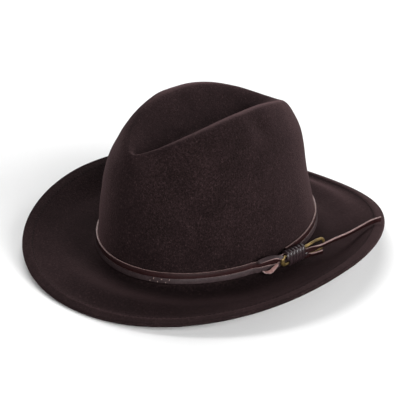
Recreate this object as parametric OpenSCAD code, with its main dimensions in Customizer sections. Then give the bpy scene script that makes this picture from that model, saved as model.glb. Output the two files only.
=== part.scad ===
// Felt hat with a creased crown, a wide stitched brim and a leather lace band.
// Row frame: +Z up, -Y the hat's front, +X the wearer's left, which is the knot's side.
// The origin is under the middle of the brim, on the surface that the hat stands on.
// All lengths are millimetres.

/* [Felt] */
// Thickness of the felt
felt_t = 2.6; // [2:0.1:4]
// Thickness of the folded and stitched edge of the brim
welt_t = 4; // [3:0.1:6]
// Width of the folded edge, from the brim's edge to its row of stitches
welt_w = 8; // [5:0.5:12]

/* [Crown] */
// Half width of the crown at the band
base_half_w = 89; // [84:0.5:94]
// Half length of the crown at the band
base_half_l = 105.5; // [100:0.5:110]
// Height of the two ridges above the band's lower edge
ridge_h = 122; // [105:1:130]
// Depth of the crease between the ridges
crease_depth = 26; // [15:1:34]
// Forward lean of the crown when the hat stands on its brim, in degrees
lean = 2; // [0:0.5:3]
// Depth of the finger dent in each side of the crown
dent_depth = 5; // [0:0.5:6]

/* [Brim] */
// Half width of the brim
brim_half_w = 152.5; // [145:0.5:158]
// Reach of the brim in front of the crown's middle
brim_front = 170; // [165:0.5:175]
// Reach of the brim behind the crown's middle
brim_back = 165; // [157:1:168]
// Height of the brim's side edges above its front and back edges
side_rise = 22; // [15:1:28]
// Height of the band's lower edge above the surface that the hat stands on
base_h = 12.3; // [11:0.5:16]

/* [Band] */
// Width of each lace
lace_w = 4.8; // [4:0.2:5]
// Thickness of each lace
lace_t = 1.8; // [1.4:0.1:2.2]
// Diameter of the ring's brass wire
wire_d = 2.6; // [2:0.1:2.6]
// Length of the brass ring
ring_l = 52; // [46:1:56]
// Width of the brass ring
ring_w = 10.4; // [9.4:0.2:10.6]
// Number of turns of the lace wrapped round the ring
wrap_turns = 6; // [4:1:7]
// Length of the wrapped stretch
wrap_l = 25; // [20:1:28]

/* [Sweatband] */
// Height of the sweatband
sweat_h = 38; // [30:1:42]
// Thickness of the sweatband
sweat_t = 1.2; // [0.8:0.1:1.6]

/* [Hidden] */

gap = 0.3;              // clearance between neighbouring pieces
edge_round = 1.3;       // how far the brim's rounded edge stands out of its faces
thread_d = 0.8;         // thickness of the sewing thread
facets = 80;            // steps round the felt
upright = [0, 0, 1];

// ---- plain helpers -------------------------------------------------------------------

function mix(a, b, t) = a + (b - a) * t;
function unit(v) = v / norm(v);
function signed_pow(v, p) = sign(v) * pow(abs(v), p);
function sum_to(list, n) = n <= 0 ? 0 : list[n - 1] + sum_to(list, n - 1);

// Smooth curve through points: the tangent at b, between its neighbours a and c.
function tangent(a, b, c) =
    let(before = norm(b - a), after = norm(c - b))
    ((b - a) / before * after + (c - b) / after * before) / (before + after);
function hermite(p, q, m, n, t) =
    let(t2 = t * t, t3 = t2 * t)
    (2 * t3 - 3 * t2 + 1) * p + (t3 - 2 * t2 + t) * m + (3 * t2 - 2 * t3) * q + (t3 - t2) * n;
// Each span i of the list is cut into steps[i] pieces.
function smooth_line(pts, steps) =
    let(last = len(pts) - 1,
        ends = concat([2 * pts[0] - pts[1]], pts, [2 * pts[last] - pts[last - 1]]))
    concat(
        [for (i = [0:last - 1])
            let(span = norm(pts[i + 1] - pts[i]),
                m = tangent(ends[i], ends[i + 1], ends[i + 2]) * span,
                n = tangent(ends[i + 1], ends[i + 2], ends[i + 3]) * span)
            for (k = [0:steps[i] - 1]) hermite(pts[i], pts[i + 1], m, n, k / steps[i])],
        [pts[last]]);

// Faces of a grid of rings, where every ring has the same number of points.
function grid_faces(rings, around) =
    [for (i = [0:rings - 2], j = [0:around - 1])
        let(k = (j + 1) % around,
            a = i * around + j, b = i * around + k,
            c = (i + 1) * around + k, d = (i + 1) * around + j)
        for (face = [[a, b, c], [a, c, d]]) face];

// A tube from a list of rings, closed at both ends.
module capped_tube(rings) {
    around = len(rings[0]);
    last = len(rings) - 1;
    polyhedron(
        points = [for (ring = rings) each ring],
        faces = concat(
            grid_faces(len(rings), around),
            [[for (j = [around - 1:-1:0]) j]],
            [[for (j = [0:around - 1]) last * around + j]]),
        convexity = 10);
}

// A tube from a list of rings that joins up with itself.
module closed_tube(rings) {
    around = len(rings[0]);
    polyhedron(
        points = [for (ring = rings) each ring],
        faces = [for (i = [0:len(rings) - 1], j = [0:around - 1])
            let(k = (j + 1) % around, n = (i + 1) % len(rings),
                a = i * around + j, b = i * around + k,
                c = n * around + k, d = n * around + j)
            for (face = [[a, b, c], [a, c, d]]) face],
        convexity = 10);
}

// ---- the shape of the felt -----------------------------------------------------------

// Sections of the crown: half width, reach to the front, reach to the back, then its height
// as a value at the middle, a slope from front to back and a fall towards both ends. Two
// values say how square its front and back halves are: 2 is an ellipse. The last value is
// the depth of the notch at the front, where the crease runs out.
foot_section = [base_half_w - 0.5, base_half_l - 0.2, base_half_l - 0.3, 4, 0, 0, 2, 2, 0];
low_section = [base_half_w - 1.5, base_half_l - 0.5, base_half_l - 1, 12, 0, 0, 2, 2, 0];
mid_section = [81.6, 103.5, 98.5, 45, 0, 0, 2, 2, 0];
shoulder = [63, 98, 98.5, 92, -5, -6, 2, 2.15, 0];
crest = [39.5, 92, 91, ridge_h, -7.5, -21.5, 1.68, 2.3, 1];
crease_wall = [19, 86, 72, ridge_h - crease_depth * 0.6, -6, -8, 1.9, 2, 2];
crease_floor = [3, 70, 56, ridge_h - crease_depth, -5, -3, 2, 2, 0];
notch_w = 16;           // how far the notch reaches round from the front, in degrees

function oval(w, front, back, n, a) =
    [w * signed_pow(cos(a), 2 / n), (sin(a) < 0 ? front : back) * signed_pow(sin(a), 2 / n)];
function section_point(s, a) =
    let(p = oval(s[0], s[1], s[2], sin(a) < 0 ? s[6] : s[7], a),
        notch = s[8] * exp(-pow((a - 270) / notch_w, 2)))
    [p.x, p.y, s[3] + s[4] * sin(a) + s[5] * sin(a) * sin(a) - notch];

// From the crown's own axes, which start at the band's lower edge, to the row frame.
middle_y = (brim_front - brim_back) / 2;
function seated(p) =
    [p.x, middle_y + p.y * cos(lean) - p.z * sin(lean), base_h + p.y * sin(lean) + p.z * cos(lean)];
module seated() translate([0, middle_y, base_h]) rotate([lean, 0, 0]) children();

brim_n = 2.03;          // how square the brim's outline is: 2 is an ellipse
brim_taper = 0.025;     // how much wider the brim's front half is, as a share of its width
front_dip = 1.5;        // how gently the edge falls to the front, as a power of the sine
back_dip = 2.7;         // the same towards the back
welt_step = 0.3;        // height of the folded edge above the rest of the brim
groove = 0.15;          // depth of the groove that the stitches pull into the felt
flare_out = 3;          // where the crown has turned into the brim, out from its wall
flare_down = 3.2;       // and down from the band's lower edge
middle_dip = 3.6;       // how far the brim's middle lies below the band's lower edge
middle_fall = 2.9;      // how much lower than that it lies at the back, and higher in front
middle_n = 2.1;         // how square the line along the brim's middle is

// Height of the brim's upper edge, which is lowest at the front and the back.
function edge_z(a) = welt_t + side_rise * (1 - pow(abs(sin(a)), sin(a) < 0 ? front_dip : back_dip));
// A point of the brim's upper face, a given distance in from its edge.
function brim_point(inset, drop, a) =
    let(p = oval(brim_half_w - inset, brim_front - inset, brim_back - inset, brim_n, a))
    [p.x * (1 - brim_taper * sin(a)), middle_y + p.y, edge_z(a) - drop];
// Half way out the brim is nearly level.
function brim_middle(a) =
    let(p = oval(mix(base_half_w, brim_half_w, 0.5), mix(base_half_l, brim_front, 0.5),
            mix(base_half_l, brim_back, 0.5), middle_n, a))
    seated([p.x, p.y, -middle_dip - middle_fall * sin(a)]);

// How far the folded edge rises towards its rim: up at the sides, down at the front and back.
side_tilt = 1.9;
end_tilt = -1.5;
function welt_tilt(a) = mix(side_tilt, end_tilt, sin(a) * sin(a));

// Points down the crown and out along the brim, in the direction a.
function felt_keys(a) = [
    seated(section_point(crease_floor, a)),
    seated(section_point(crease_wall, a)),
    seated(section_point(crest, a)),
    seated(section_point(shoulder, a)),
    seated(section_point(mid_section, a)),
    seated(section_point(low_section, a)),
    seated(section_point(foot_section, a)),
    seated([base_half_w * cos(a), base_half_l * sin(a), 0]),
    seated([(base_half_w + flare_out) * cos(a), (base_half_l + flare_out) * sin(a), -flare_down]),
    brim_middle(a),
    brim_point(welt_w + 1, welt_tilt(a) + welt_step + groove, a),
    brim_point(welt_w, welt_tilt(a), a),
    brim_point(edge_round, 0, a)];

angles = [for (i = [0:facets - 1]) i * 360 / facets];
felt_steps = [3, 3, 5, 4, 3, 1, 1, 2, 5, 4, 1, 3];
smooth_top = [for (a = angles) smooth_line(felt_keys(a), felt_steps)];
rows = len(smooth_top[0]);

function across(grid, i, j) =
    let(n = len(grid)) grid[(j + 1) % n][i] - grid[(j + n - 1) % n][i];
function along(grid, i, j) = grid[j][min(i + 1, rows - 1)] - grid[j][max(i - 1, 0)];
function outward(grid, i, j) = unit(cross(across(grid, i, j), -along(grid, i, j)));

// The finger dents: a soft hollow in each side, near the top, just behind the middle.
dent_at = [45.5, 9, 104];
dent_r = 10;
function dent(p) =
    let(q = seated(dent_at), d = norm([abs(p.x), p.y, p.z] - q) / dent_r)
    dent_depth * exp(-d * d);
top_face = [for (j = [0:facets - 1]) [for (i = [0:rows - 1])
    let(p = smooth_top[j][i]) p - outward(smooth_top, i, j) * dent(p)]];

// The welt starts where its step does; further in, the felt is single.
welt_row = sum_to(felt_steps, 11);
function thickness(i) = i < welt_row - 1 ? felt_t : i < welt_row ? mix(felt_t, welt_t, 0.5) : welt_t;
lower_face = [for (j = [0:facets - 1]) [for (i = [0:rows - 1])
    top_face[j][i] - outward(top_face, i, j) * thickness(i)]];

function ring_of(grid, i) = [for (j = [0:facets - 1]) grid[j][i]];
function nose(a) = brim_point(0, welt_t / 2, a);
function under_edge(a) = brim_point(edge_round, welt_t, a);

// Rings from the bottom of the crease, over the crown, round the brim's edge and back inside.
felt_rings = concat(
    [for (i = [0:rows - 1]) ring_of(top_face, i)],
    [[for (a = angles) nose(a)]],
    [[for (a = angles) under_edge(a)]],
    [for (i = [rows - 2:-1:0]) ring_of(lower_face, i)]);

module felt_body() {
    color("#33261f")
        capped_tube(felt_rings);
}

// Two rows of thread hold the folded edge down, one on each face of the brim.
function thread_ring(p, out, d) =
    [for (a = [0:72:359]) p + (out * cos(a) + upright * sin(a)) * d / 2];
function thread_loop(pts, d) =
    [for (i = [0:len(pts) - 1])
        let(n = len(pts), run = unit(pts[(i + 1) % n] - pts[(i + n - 1) % n]))
        thread_ring(pts[i], unit(cross(run, upright)), d)];

module brim_edge_thread() {
    color("#2a1f1b") {
        closed_tube(thread_loop(ring_of(top_face, welt_row - 1), thread_d));
        closed_tube(thread_loop(ring_of(lower_face, welt_row - 1), thread_d));
    }
}

// ---- the hatband ---------------------------------------------------------------------

// The crown's outline at a height: half width, reach to the front and reach to the back.
function crown_size(z) =
    let(t = max(0, z) / low_section[3],
        u = (z - low_section[3]) / (mid_section[3] - low_section[3]))
    [for (i = [0:2]) z < low_section[3]
        ? mix([base_half_w, base_half_l, base_half_l][i], low_section[i], t)
        : mix(low_section[i], mid_section[i], u)];
// A point beside the crown's wall, a given distance outside it.
function beside_crown(off, z, a) =
    let(s = crown_size(z), p = oval(s[0] + off, s[1] + off, s[2] + off, 2, a))
    [p.x, p.y, z];

// A lace's outline at p: flat across the side direction, with bevelled edges.
bevel = 0.45;
function lace_ring(p, run, wide, w, t) =
    let(side = unit(cross(run, wide)), up = unit(cross(side, run)), h = w / 2, k = t / 2)
    [for (c = [[k, h - bevel], [k - bevel, h], [bevel - k, h], [-k, h - bevel],
            [-k, bevel - h], [bevel - k, -h], [k - bevel, -h], [k, bevel - h]])
        p + side * c.x + up * c.y];
// Outlines along a run of points, each given with the direction of the lace's width there.
function lace_rings(pts, wides, w, t) =
    let(last = len(pts) - 1)
    [for (i = [0:last])
        lace_ring(pts[i], pts[min(i + 1, last)] - pts[max(i - 1, 0)], wides[i], w, t)];

module lace(pts, wides, w = lace_w, t = lace_t) {
    capped_tube(lace_rings(pts, wides, w, t));
}

// The knot's own axes: its middle, and its turn away from the crown towards the back.
knot_at = [96.6, 0.3, 5];
knot_yaw = 8;
function at_knot(p) = knot_at
    + [p.x * cos(knot_yaw) + p.y * sin(knot_yaw), p.y * cos(knot_yaw) - p.x * sin(knot_yaw), p.z];
module at_knot() translate(knot_at) rotate([0, 0, -knot_yaw]) children();

lower_z = gap + 0.1 + lace_w / 2;        // heights of the laces' middles on the crown
upper_z = lower_z + lace_w + 0.2;
strand_off = gap + 0.2 + lace_t / 2;     // middle of a lace, out from the crown
strand_start = -6;                       // where a strand starts behind the knot, in degrees
strand_leave = 338;                      // where it leaves the crown for the knot
strand_step = 4;
end_in_knot = -1.1;                      // how far behind the knot's middle the laces end

function tilted(t) = [sin(t), 0, cos(t)];
// Each strand runs round the crown, then leaves it and ends inside the wrap.
function strand_round(z) =
    [for (a = [strand_start:strand_step:strand_leave]) beside_crown(strand_off, z, a)];
function strand_end(bow, z) = concat(
    [for (b = bow) [b[0], b[1], b[2]]],
    [for (y = [-wrap_l / 2 - 2, -wrap_l / 2, 0]) at_knot([end_in_knot, y, z])]);
function strand_points(bow, z, end_z) =
    let(round_pts = strand_round(z), n = len(round_pts),
        turn = concat([round_pts[n - 1]], strand_end(bow, end_z)))
    concat([for (i = [0:n - 2]) round_pts[i]],
        smooth_line(turn, [for (i = [1:len(turn) - 1]) 4]));
// The lace stands upright round the crown, and leans by each bow point's last value.
function strand_wides(bow, z, end_z) =
    let(n = len(strand_round(z)),
        leans = concat([0], [for (b = bow) b[3]], [0, 0, 0]),
        turn = [for (i = [0:len(leans) - 2], k = [0:3]) mix(leans[i], leans[i + 1], k / 4)])
    concat([for (i = [0:n - 2]) upright], [for (v = turn) tilted(v)], [upright]);

// Bow of each strand: points out from the crown, each with its lean in degrees.
upper_bow = [[85.9, -36, 8.3, -4], [89.4, -28, 8.2, 0], [93.2, -20, 8, 0]];
lower_bow = [[86.4, -36, 2.7, -2], [90, -28, 2.5, 4], [93.8, -20, 2.4, 4]];

module strand(bow, z, end_z) {
    seated() lace(strand_points(bow, z, end_z), strand_wides(bow, z, end_z));
}
module upper_strand() {
    color("#4a241f") strand(upper_bow, upper_z, lace_w / 2 + 0.2);
}
module lower_strand() {
    color("#542b25") strand(lower_bow, lower_z, -lace_w / 2 - 0.2);
}

// A few stitches join the lower lace's overlap, near the front.
stitch_count = 6;
stitch_pitch = 2.1;      // degrees round the crown
stitch_first = 285.5;
stitch_l = 2.4;
stitch_slant = 25;       // degrees off upright
module splice_stitches() {
    color("#b08b7a") seated()
        for (i = [0:stitch_count - 1]) {
            a = stitch_first + i * stitch_pitch;
            translate(beside_crown(strand_off + lace_t / 2 + 0.1, lower_z, a))
                rotate([stitch_slant, 0, 0])
                    cylinder(h = stitch_l, d = thread_d, center = true, $fn = 16);
        }
}

// The ring lies along the band, with the wrap round its front half.
ring_out = 1.5;          // the ring's middle, out from the knot's middle
ring_front = 17;         // its reach in front of the knot's middle
module brass_ring() {
    straight = ring_l - ring_w;
    bend_r = (ring_w - wire_d) / 2;
    color("#a98443") seated() at_knot()
        translate([ring_out, ring_l / 2 - ring_front, 0])
            rotate([90, 0, 90])
                for (side = [0, 180]) rotate([0, 0, side]) {
                    translate([straight / 2, 0, 0]) rotate([0, 0, -90])
                        rotate_extrude(angle = 180, $fn = 48)
                            translate([bend_r, 0]) circle(d = wire_d, $fn = 24);
                    translate([-straight / 2, bend_r, 0]) rotate([0, 90, 0])
                        cylinder(h = straight, d = wire_d, $fn = 24);
                }
}

// The wrap is a flat lace wound round the ring and the strands' ends.
wrap_t = 1.4;
wrap_w = 3.6;
wrap_half = [3.8, 6.2];  // half sizes of the winding, out and up
wrap_n = 5;              // how square the winding is
wrap_steps = 20;         // steps in one turn
wrap_pitch = (wrap_l - wrap_w) / wrap_turns;
function wrap_point(t) = [
    wrap_half[0] * signed_pow(cos(t), 2 / wrap_n),
    -wrap_l / 2 + wrap_w / 2 + wrap_pitch * t / 360,
    wrap_half[1] * signed_pow(sin(t), 2 / wrap_n)];
function wrap_normal(t) =
    let(p = wrap_point(t))
    unit([signed_pow(p.x / wrap_half[0], wrap_n - 1) / wrap_half[0], 0,
        signed_pow(p.z / wrap_half[1], wrap_n - 1) / wrap_half[1]]);
function wrap_ring(t) =
    let(p = wrap_point(t), out = wrap_normal(t) * wrap_t / 2, h = wrap_w / 2)
    [for (c = [[1, -0.75], [1, 0.75], [0.3, 1], [-1, 0.9], [-1, -0.9], [0.3, -1]])
        p + out * c[0] + [0, 1, 0] * h * c[1]];
module knot_wrap() {
    color("#3a1d19") seated() at_knot()
        capped_tube([for (i = [0:wrap_turns * wrap_steps]) wrap_ring(i * 360 / wrap_steps)]);
}

// The tails start at the wrap's back end, outside the ring. Points are in the crown's axes.
tail_out = 3.9;
long_root_z = 0.8;
short_root_z = -4;
long_root = at_knot([tail_out, wrap_l / 2 + gap, long_root_z]);
long_tail_points = [long_root, [104.8, 27, 4.4], [107.5, 41, 4.8], [110.5, 57, 4.4],
    [114, 73, 6], [118.6, 82.2, 8.9], [124.6, 89, 11.2]];
short_tail_w = 3.8;
short_root = at_knot([tail_out, wrap_l / 2 + gap, short_root_z]);
short_tail_points = [short_root, [105.4, 22.6, -0.2], [106.8, 26.4, -0.2]];

module tail(points, w) {
    line = smooth_line(points, [for (i = [1:len(points) - 1]) 4]);
    seated() lace(line, [for (p = line) upright], w);
}
module long_tail() {
    color("#4a241f") tail(long_tail_points, lace_w);
}
module short_tail() {
    color("#542b25") tail(short_tail_points, short_tail_w);
}

// ---- inside the crown ----------------------------------------------------------------

sweat_off = felt_t + 0.5;                // outer face of the sweatband, in from the crown
sweat_low = -1;
sweat_levels = [sweat_low, low_section[3], sweat_low + sweat_h];
function sweat_ring(a) = concat(
    [for (z = sweat_levels) beside_crown(-sweat_off, z, a)],
    [for (i = [2:-1:0]) beside_crown(-sweat_off - sweat_t, sweat_levels[i], a)]);
module sweatband() {
    color("#6b4a36") seated()
        closed_tube([for (a = angles) sweat_ring(a)]);
}

seam_z = 1.5;            // height of the row of stitches above the band's lower edge
module sweatband_stitching() {
    seam = [for (a = angles) beside_crown(-sweat_off - sweat_t - 0.1, seam_z, a)];
    color("#3c2a20") seated() closed_tube(thread_loop(seam, thread_d));
}

// A small flat bow is sewn inside the back of the sweatband.
bow_w = 18;
bow_h = 8;
bow_t = 1.2;
bow_z = 8;
bow_waist = [1.5, 1.2];  // half sizes of the bow's middle, across and up
bow_outline = [for (side = [1, -1])
    each [side * bow_waist, side * [bow_w / 2, bow_h / 2],
        side * [bow_w / 2, -bow_h / 2], side * [bow_waist.x, -bow_waist.y]]];
module sweatband_bow() {
    back = beside_crown(-sweat_off - sweat_t, bow_z, 90);
    color("#2b2220") seated()
        translate([0, back.y - bow_t / 2, bow_z]) rotate([90, 0, 0])
            linear_extrude(height = bow_t) polygon(bow_outline);
}

felt_body();
brim_edge_thread();
upper_strand();
lower_strand();
splice_stitches();
brass_ring();
knot_wrap();
long_tail();
short_tail();
sweatband();
sweatband_stitching();
sweatband_bow();
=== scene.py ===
"""A brown wool felt hat with a creased crown, a stitched brim and a band of two leather laces.

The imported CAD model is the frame. Every shape here is worked out in millimetres in the same
axes, from the same design values as part.scad, and is turned into metres as its mesh is made.
"""

import math

import bmesh
import bpy
import numpy as np
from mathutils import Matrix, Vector, noise


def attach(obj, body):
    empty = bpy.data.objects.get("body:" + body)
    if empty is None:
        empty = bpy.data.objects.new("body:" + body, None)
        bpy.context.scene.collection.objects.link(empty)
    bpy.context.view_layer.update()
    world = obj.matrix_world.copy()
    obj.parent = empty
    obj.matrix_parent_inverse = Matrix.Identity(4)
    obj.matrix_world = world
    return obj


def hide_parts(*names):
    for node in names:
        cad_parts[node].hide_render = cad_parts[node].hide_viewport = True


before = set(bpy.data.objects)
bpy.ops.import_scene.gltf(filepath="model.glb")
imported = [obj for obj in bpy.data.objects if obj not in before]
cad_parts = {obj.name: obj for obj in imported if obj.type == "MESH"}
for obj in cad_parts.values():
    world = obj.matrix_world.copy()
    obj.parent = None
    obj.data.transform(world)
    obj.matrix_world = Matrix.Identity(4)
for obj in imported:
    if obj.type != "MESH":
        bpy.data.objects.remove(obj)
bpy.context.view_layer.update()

MM = 0.001
UPRIGHT = np.array([0.0, 0.0, 1.0])

# ---- design values, as in part.scad --------------------------------------------------------

FELT_T = 2.6
WELT_T = 4.0
WELT_W = 8.0
BASE_HALF_W = 89.0
BASE_HALF_L = 105.5
RIDGE_H = 122.0
CREASE_DEPTH = 26.0
LEAN = math.radians(2)
BRIM_HALF_W = 152.5
BRIM_FRONT = 170.0
BRIM_BACK = 165.0
SIDE_RISE = 22.0
BASE_H = 12.3
MIDDLE_Y = (BRIM_FRONT - BRIM_BACK) / 2
EDGE_ROUND = 1.3

LACE_W = 4.8
LACE_T = 1.8
WIRE_D = 2.6
RING_L = 52.0
RING_W = 10.4
WRAP_TURNS = 6
WRAP_L = 25.0

# Sections of the crown: half width, reach to the front, reach to the back, height at the
# middle, its slope from front to back, its fall towards both ends, how square the front and
# the back halves are, and the depth of the notch at the front where the crease runs out.
FOOT = (BASE_HALF_W - 0.5, BASE_HALF_L - 0.2, BASE_HALF_L - 0.3, 4, 0, 0, 2, 2, 0)
LOW = (BASE_HALF_W - 1.5, BASE_HALF_L - 0.5, BASE_HALF_L - 1, 12, 0, 0, 2, 2, 0)
MID = (81.6, 103.5, 98.5, 45, 0, 0, 2, 2, 0)
SHOULDER = (63, 98, 98.5, 92, -5, -6, 2, 2.15, 0)
CREST = (39.5, 92, 91, RIDGE_H, -7.5, -21.5, 1.68, 2.3, 1)
CREASE_WALL = (19, 86, 72, RIDGE_H - CREASE_DEPTH * 0.6, -6, -8, 1.9, 2, 2)
CREASE_FLOOR = (3, 70, 56, RIDGE_H - CREASE_DEPTH, -5, -3, 2, 2, 0)
NOTCH_W = math.radians(16)

# ---- plain helpers -------------------------------------------------------------------------


def mix(a, b, t):
    return a + (b - a) * t


def unit(v):
    return v / np.maximum(np.linalg.norm(v, axis=-1, keepdims=True), 1e-9)


def signed_pow(v, p):
    return np.sign(v) * np.abs(v) ** p


def smoothstep(t):
    t = np.clip(t, 0, 1)
    return t * t * (3 - 2 * t)


def smooth_line(keys, steps):
    """A smooth curve through the keys, with each span cut into its number of steps.

    The keys may be points or whole rows of points.
    """
    keys = np.asarray(keys, float)
    ends = np.concatenate([2 * keys[:1] - keys[1:2], keys, 2 * keys[-1:] - keys[-2:-1]])
    spans = np.maximum(np.linalg.norm(np.diff(ends, axis=0), axis=-1, keepdims=True), 1e-9)
    slopes = np.diff(ends, axis=0) / spans
    before, after = spans[:-1], spans[1:]
    tangents = (slopes[:-1] * after + slopes[1:] * before) / (before + after)
    out = []
    for i, count in enumerate(steps):
        span = spans[i + 1]
        p, q = keys[i], keys[i + 1]
        m, n = tangents[i] * span, tangents[i + 1] * span
        for k in range(count):
            t = k / count
            t2, t3 = t * t, t * t * t
            ends_part = (2 * t3 - 3 * t2 + 1) * p + (3 * t2 - 2 * t3) * q
            out.append(ends_part + (t3 - 2 * t2 + t) * m + (t3 - t2) * n)
    out.append(keys[-1])
    return np.array(out)


def seated(p):
    """From the crown's own axes, which start at the band's lower edge, to the row frame."""
    x, y, z = np.moveaxis(np.asarray(p, float), -1, 0)
    back = MIDDLE_Y + y * math.cos(LEAN) - z * math.sin(LEAN)
    up = BASE_H + y * math.sin(LEAN) + z * math.cos(LEAN)
    return np.stack([x, back, up], -1)


def turned(v):
    """A direction of the crown's axes in the row frame."""
    return seated(v) - seated(np.zeros(3))


def ripple(points, size, seed):
    """Smooth noise from -1 to 1 at each point, for bumps of that size."""
    shift = Vector((seed * 7.3, seed * 3.1, seed * 5.7))
    flat = np.asarray(points).reshape(-1, 3) / size
    values = [noise.noise(Vector(p) + shift) for p in flat]
    return np.array(values).reshape(np.asarray(points).shape[:-1])


def tube_faces(count, around, closed):
    """Faces of a tube of rings, and each face's place round the tube. An open tube is capped."""
    faces, places = [], []
    for i in range(count if closed else count - 1):
        for j in range(around):
            k, n = (j + 1) % around, (i + 1) % count
            faces.append((i * around + j, i * around + k, n * around + k, n * around + j))
            places.append(j)
    if not closed:
        faces.append(tuple(range(around - 1, -1, -1)))
        faces.append(tuple((count - 1) * around + j for j in range(around)))
        places += [-1, -1]
    return faces, places


def add_piece(name, body, stands_for, parts, materials, painted_light_and_shade=None):
    """One mesh piece that takes the place of the CAD nodes in stands_for.

    Each part is a list of rings, a flag that says whether the rings close into a loop, and a
    function that gives the number of the material for each place round a ring.
    """
    points, faces, indices = [], [], []
    for rings, closed, material_of in parts:
        rings = np.asarray(rings, float)
        start = len(points)
        points += rings.reshape(-1, 3).tolist()
        part_faces, places = tube_faces(len(rings), rings.shape[1], closed)
        faces += [tuple(start + v for v in f) for f in part_faces]
        indices += [material_of(p) for p in places]
    mesh = bpy.data.meshes.new(name)
    mesh.from_pydata([[value * MM for value in point] for point in points], [], faces)
    for m in materials:
        mesh.materials.append(m)
    mesh.polygons.foreach_set("material_index", indices)
    mesh.polygons.foreach_set("use_smooth", [True] * len(faces))
    # The felt's painted light and shade goes on as a point attribute for its material.
    if painted_light_and_shade is not None:
        mesh.attributes.new("painted_light_and_shade", "FLOAT", "POINT").data.foreach_set("value", np.ravel(painted_light_and_shade))
    work = bmesh.new()
    work.from_mesh(mesh)
    bmesh.ops.recalc_face_normals(work, faces=work.faces)
    work.to_mesh(mesh)
    work.free()
    piece = bpy.data.objects.new(name, mesh)
    bpy.context.scene.collection.objects.link(piece)
    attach(piece, body)
    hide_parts(*stands_for)


def plain(_place):
    """The first material all round."""
    return 0


# ---- materials -----------------------------------------------------------------------------


class Nodes:
    """A material's node tree, with short calls for the nodes used here."""

    # Places of the colour sockets of a mix node.
    MIX_A, MIX_B, MIX_OUT = 6, 7, 2

    def __init__(self, name):
        self.material = bpy.data.materials.new(name)
        self.material.use_nodes = True
        self.tree = self.material.node_tree
        self.shader = self.tree.nodes["Principled BSDF"]
        self.place = self.tree.nodes.new("ShaderNodeTexCoord").outputs["Object"]

    def link(self, value, socket):
        """Puts a node's output, a colour or a number into a socket."""
        if hasattr(value, "is_output"):
            self.tree.links.new(value, socket)
        elif isinstance(value, tuple) and len(value) == 3 and socket.type == "RGBA":
            socket.default_value = (*value, 1)
        else:
            socket.default_value = value

    def set(self, **values):
        """Sets or links the shader's inputs, with _ for a space in their names."""
        for key, value in values.items():
            self.link(value, self.shader.inputs[key.replace("_", " ")])

    def stretched(self, scale, turn=(0, 0, 0)):
        """The place, multiplied along each axis and then turned."""
        node = self.tree.nodes.new("ShaderNodeMapping")
        self.tree.links.new(self.place, node.inputs["Vector"])
        node.inputs["Scale"].default_value = scale
        node.inputs["Rotation"].default_value = turn
        return node.outputs["Vector"]

    def noise(self, size_mm, detail, rough, vector=None, warp=0.0):
        """Soft patches of about that size."""
        node = self.tree.nodes.new("ShaderNodeTexNoise")
        self.tree.links.new(vector or self.place, node.inputs["Vector"])
        node.inputs["Scale"].default_value = 1 / (size_mm * MM)
        node.inputs["Detail"].default_value = detail
        node.inputs["Roughness"].default_value = rough
        node.inputs["Distortion"].default_value = warp
        return node.outputs["Fac"]

    def cells(self, size_mm):
        """Distance from the middles of irregular cells of about that size."""
        node = self.tree.nodes.new("ShaderNodeTexVoronoi")
        self.tree.links.new(self.place, node.inputs["Vector"])
        node.inputs["Scale"].default_value = 1 / (size_mm * MM)
        return node.outputs["Distance"]

    def length(self, per_mm):
        """Length of the place in millimetres, after each of its axes is multiplied by its value."""
        node = self.tree.nodes.new("ShaderNodeVectorMath")
        node.operation = "LENGTH"
        self.tree.links.new(self.stretched([v / MM for v in per_mm]), node.inputs[0])
        return node.outputs["Value"]

    def ramp(self, value, *stops):
        """Colours or numbers against a value from 0 to 1."""
        node = self.tree.nodes.new("ShaderNodeValToRGB")
        self.tree.links.new(value, node.inputs["Fac"])
        elements = node.color_ramp.elements
        while len(elements) < len(stops):
            elements.new(0.5)
        for element, (at, colour) in zip(elements, stops):
            element.position = at
            element.color = (*colour, 1) if isinstance(colour, tuple) else (colour,) * 3 + (1,)
        return node.outputs["Color"]

    def blend(self, a, b, mode):
        """Two colours, multiplied or added in full."""
        node = self.tree.nodes.new("ShaderNodeMix")
        node.data_type = "RGBA"
        node.blend_type = mode
        node.inputs["Factor"].default_value = 1
        self.link(a, node.inputs[self.MIX_A])
        self.link(b, node.inputs[self.MIX_B])
        return node.outputs[self.MIX_OUT]

    def math(self, operation, a, b):
        node = self.tree.nodes.new("ShaderNodeMath")
        node.operation = operation
        self.link(a, node.inputs[0])
        self.link(b, node.inputs[1])
        return node.outputs[0]

    def bump(self, height, depth_mm, strength, under=None):
        """Small relief, laid over the relief under it."""
        node = self.tree.nodes.new("ShaderNodeBump")
        node.inputs["Strength"].default_value = strength
        node.inputs["Distance"].default_value = depth_mm * MM
        self.tree.links.new(height, node.inputs["Height"])
        if under is not None:
            self.tree.links.new(under, node.inputs["Normal"])
        return node.outputs["Normal"]


# Values of the felt's attribute of painted light and shade: 0 is the deepest painted shade, the
# value below is plain felt with none, and 1 is the strongest painted light.
UNPAINTED = 0.2


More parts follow.
